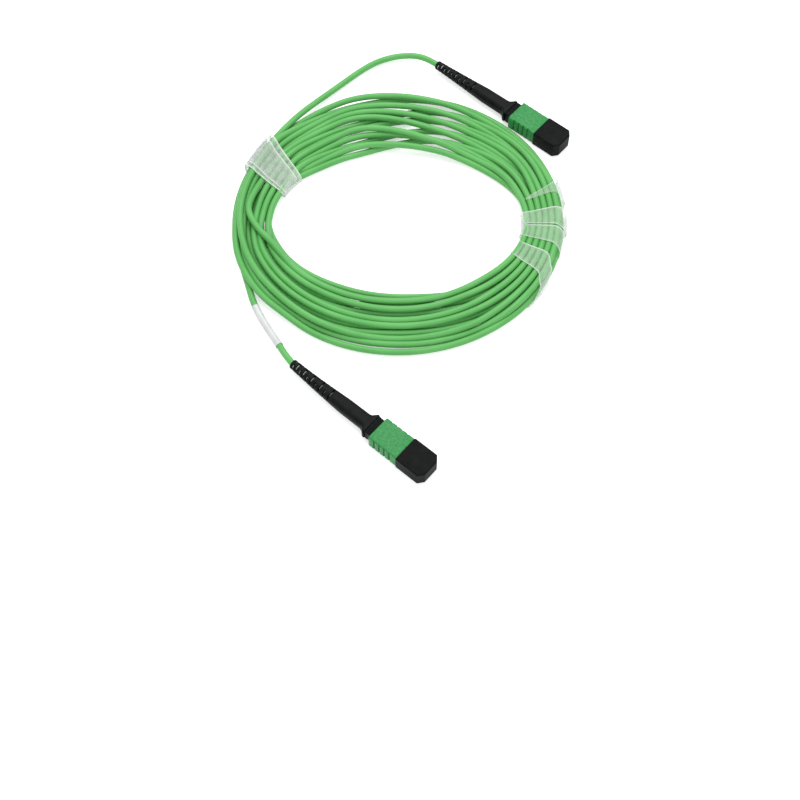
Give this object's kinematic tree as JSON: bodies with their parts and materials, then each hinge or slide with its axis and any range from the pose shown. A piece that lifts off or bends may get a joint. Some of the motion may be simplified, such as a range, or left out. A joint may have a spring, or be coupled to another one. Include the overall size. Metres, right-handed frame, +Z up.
{
  "type": "mpo fibre connector",
  "caption": "Multi-fibre push-pull connector with spring-loaded ferrule, sliding coupling sleeve, slotted boot and dust cap, on a coiled patch cord lying flat.",
  "frame": {"origin": "on the surface under the middle of the connector, from the tail of its boot to the front of its dust cap", "axes": "+X along the connector towards its mating face, +Z up, +Y to the side where the coil lies"},
  "size_m": [0.1737, 0.187, 0.0081],
  "materials": {
    "cap_black": "smooth moulded black, soft sheen",
    "sleeve_green": "satin moulded green",
    "housing_black": "satin moulded black",
    "boot_black": "soft satin black",
    "cord_green": "satin extruded jacket, light green",
    "label_white": "bare white sleeve",
    "film_clear": "clear glossy film",
    "ferrule_grey": "dark filled moulding",
    "pin_steel": "polished",
    "clamp_steel": "satin",
    "spring_steel": "drawn wire",
    "crimp_metal": "nickel plated",
    "slip_white": "soft",
    "ribbon_clear": "clear ribbon",
    "yarn_yellow": "twisted yarn"
  },
  "bodies": {
    "connector": {"inner_housing": "housing_black", "spring_push": "housing_black", "aramid_yarn": "yarn_yellow", "crimp_sleeve": "crimp_metal", "boot": "boot_black", "cable_end": "cord_green", "main_spring": "spring_steel", "coupling_spring_left": "spring_steel", "coupling_spring_right": "spring_steel", "lead_cord": "cord_green", "label_sleeve": "label_white", "cord_coil": "cord_green", "film_wrap_right": "film_clear", "film_wrap_left": "film_clear", "far_lead": "cord_green", "far_inner_housing": "housing_black", "far_boot": "boot_black", "far_cable_end": "cord_green"},
    "sleeve": {"coupling_sleeve": "sleeve_green"},
    "ferrule_set": {"ferrule": "ferrule_grey", "guide_pin_left": "pin_steel", "guide_pin_right": "pin_steel", "pin_clamp": "clamp_steel", "ferrule_boot": "slip_white", "fibre_ribbon": "ribbon_clear"},
    "cap": {"dust_cap": "cap_black"},
    "far_sleeve": {"far_coupling_sleeve": "sleeve_green"},
    "far_ferrule_set": {"far_ferrule": "ferrule_grey"},
    "far_cap": {"far_dust_cap": "cap_black"}
  },
  "joints": [
    {"name": "sleeve_slide", "type": "slide", "parent": "connector", "child": "sleeve", "axis": [1, 0, 0], "range_m": [-0.002, 0], "stiffness_N_per_m": 300, "springref_m": 0.002, "deforming": ["coupling_spring_left", "coupling_spring_right"]},
    {"name": "ferrule_float", "type": "slide", "parent": "connector", "child": "ferrule_set", "axis": [1, 0, 0], "range_m": [-0.0009, 0], "stiffness_N_per_m": 1000, "springref_m": 0.004, "deforming": ["main_spring"]},
    {"name": "cap_pull", "type": "slide", "parent": "connector", "child": "cap", "axis": [1, 0, 0], "range_m": [0, 0.012]},
    {"name": "far_sleeve_slide", "type": "slide", "parent": "connector", "child": "far_sleeve", "axis": [1, 0, 0], "range_m": [-0.002, 0], "stiffness_N_per_m": 300, "springref_m": 0.002},
    {"name": "far_ferrule_float", "type": "slide", "parent": "connector", "child": "far_ferrule_set", "axis": [1, 0, 0], "range_m": [-0.0009, 0], "stiffness_N_per_m": 1000, "springref_m": 0.004},
    {"name": "far_cap_pull", "type": "slide", "parent": "connector", "child": "far_cap", "axis": [1, 0, 0], "range_m": [0, 0.012]}
  ]
}
